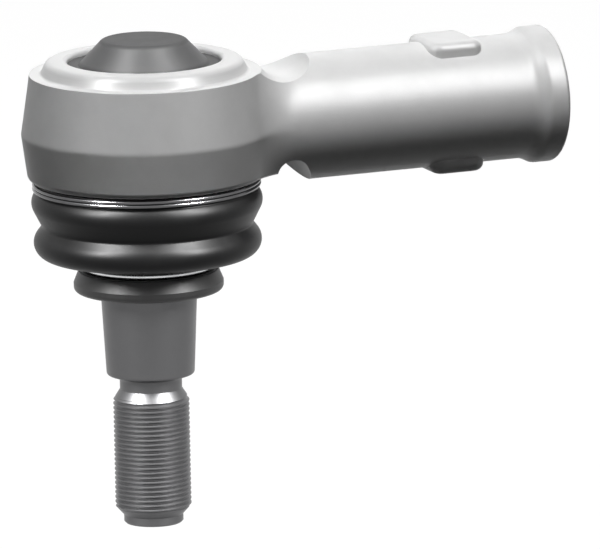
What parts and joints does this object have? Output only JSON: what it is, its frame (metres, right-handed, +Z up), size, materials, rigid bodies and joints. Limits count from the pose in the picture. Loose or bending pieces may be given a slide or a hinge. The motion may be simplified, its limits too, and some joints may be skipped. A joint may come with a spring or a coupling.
{
  "type": "suspension ball joint",
  "caption": "Heavy tie rod ball joint: forged eye on a hollow threaded stem, tapered stud with a thread, rubber bellows and wire rings.",
  "frame": {"origin": "on the stem's axis, where its inner thread starts, 1.8 mm inside the end face", "axes": "+X out of the stem's mouth, +Z up through the end cover, the stud points down -Z; the ball's centre is at x = -134.3 mm"},
  "size_m": [0.1752, 0.0782, 0.1547],
  "materials": {
    "forged_steel": "satin",
    "stud_steel": "satin",
    "cover_steel": "satin",
    "bearing_plastic": "matte",
    "boot_rubber": "satin",
    "seal_rubber": "matte",
    "spring_steel": "polished"
  },
  "bodies": {
    "housing": {"housing": "forged_steel", "end_cover": "cover_steel", "cover_seal_ring": "seal_rubber", "compression_spring": "spring_steel", "pressure_cup": "stud_steel", "dust_boot": "boot_rubber", "boot_upper_ring": "spring_steel"},
    "bearing": {"upper_bearing_shell": "bearing_plastic", "lower_bearing_shell": "bearing_plastic"},
    "seal": {"boot_lip_collar": "seal_rubber", "boot_lower_ring": "spring_steel"},
    "stud": {"ball_stud": "stud_steel"}
  },
  "joints": [
    {"name": "swing_direction", "type": "hinge", "parent": "housing", "child": "bearing", "pos_m": [-0.1343, 0, 0], "axis": [0, 0, 1], "continuous": true},
    {"name": "stud_swing", "type": "hinge", "parent": "bearing", "child": "seal", "pos_m": [-0.1343, 0, 0], "axis": [1, 0, 0], "range_deg": [-20, 20], "deforming": ["dust_boot"]},
    {"name": "stud_spin", "type": "hinge", "parent": "seal", "child": "stud", "pos_m": [-0.1343, 0, 0], "axis": [0, 0, 1], "continuous": true}
  ]
}
